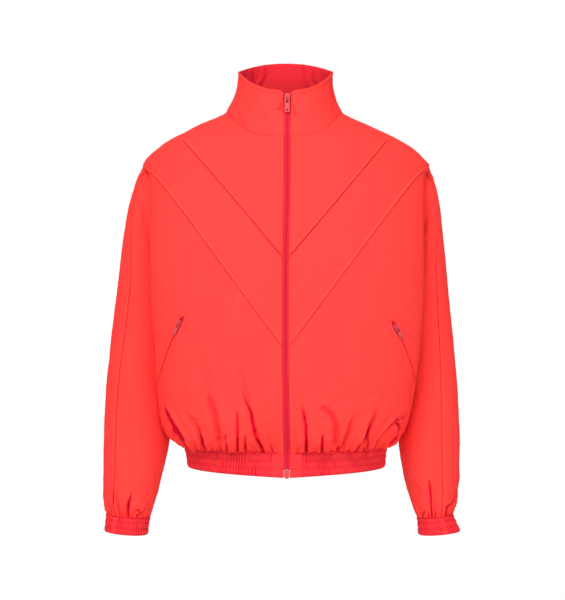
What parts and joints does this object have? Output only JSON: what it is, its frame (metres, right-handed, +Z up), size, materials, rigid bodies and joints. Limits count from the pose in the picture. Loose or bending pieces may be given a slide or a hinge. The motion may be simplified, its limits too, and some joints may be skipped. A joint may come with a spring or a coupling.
{
  "type": "track jacket",
  "caption": "Cropped zip track jacket in light red woven cloth with a stand collar, diagonal front seams, slanted zip pockets and gathered hem and cuffs, filled out as if worn.",
  "frame": {"origin": "middle of the neck hole, level with the shoulders beside the neck, where the jacket hangs on its wearer", "axes": "+Z up, the wearer faces -Y, the wearer's left is +X"},
  "size_m": [0.5872, 0.2787, 0.7861],
  "materials": {
    "shell": "light plain-woven nylon with a soft sheen",
    "elastic": "the same nylon gathered over elastic in stitched channels",
    "zip_tape": "dark red woven zip tape and closed coil",
    "zip_metal": "red enamelled zip parts, semi-gloss"
  },
  "bodies": {
    "garment": {"front_right": "shell", "front_band_right": "shell", "front_yoke_right": "shell", "front_left": "shell", "front_band_left": "shell", "front_yoke_left": "shell", "back": "shell", "sleeve_front_right": "shell", "sleeve_back_right": "shell", "sleeve_front_left": "shell", "sleeve_back_left": "shell", "collar": "shell", "pocket_lip_front_right": "shell", "pocket_lip_side_right": "shell", "pocket_lip_front_left": "shell", "pocket_lip_side_left": "shell", "hem_band": "elastic", "cuff_right": "elastic", "cuff_left": "elastic", "zip_tape_right": "zip_tape", "zip_tape_left": "zip_tape", "zip_chain": "zip_tape", "zip_slider": "zip_metal", "zip_box": "zip_metal", "pocket_slider_right": "zip_metal", "pocket_slider_left": "zip_metal"},
    "pull_front": {"zip_pull": "zip_metal"},
    "pull_pocket_right": {"pocket_pull_right": "zip_metal"},
    "pull_pocket_left": {"pocket_pull_left": "zip_metal"}
  },
  "joints": [
    {"name": "zip_pull_swing", "type": "hinge", "parent": "garment", "child": "pull_front", "pos_m": [0.00177, -0.09107, 0.01797], "axis": [-1, 0.0006, 0.0025], "range_deg": [0, 150]},
    {"name": "pocket_pull_right_swing", "type": "hinge", "parent": "garment", "child": "pull_pocket_right", "pos_m": [-0.16845, -0.12288, -0.34098], "axis": [-0.7882, 0.3637, 0.4965], "range_deg": [0, 150]},
    {"name": "pocket_pull_left_swing", "type": "hinge", "parent": "garment", "child": "pull_pocket_left", "pos_m": [0.17306, -0.12156, -0.34782], "axis": [-0.7679, -0.3637, -0.5274], "range_deg": [0, 150]}
  ]
}
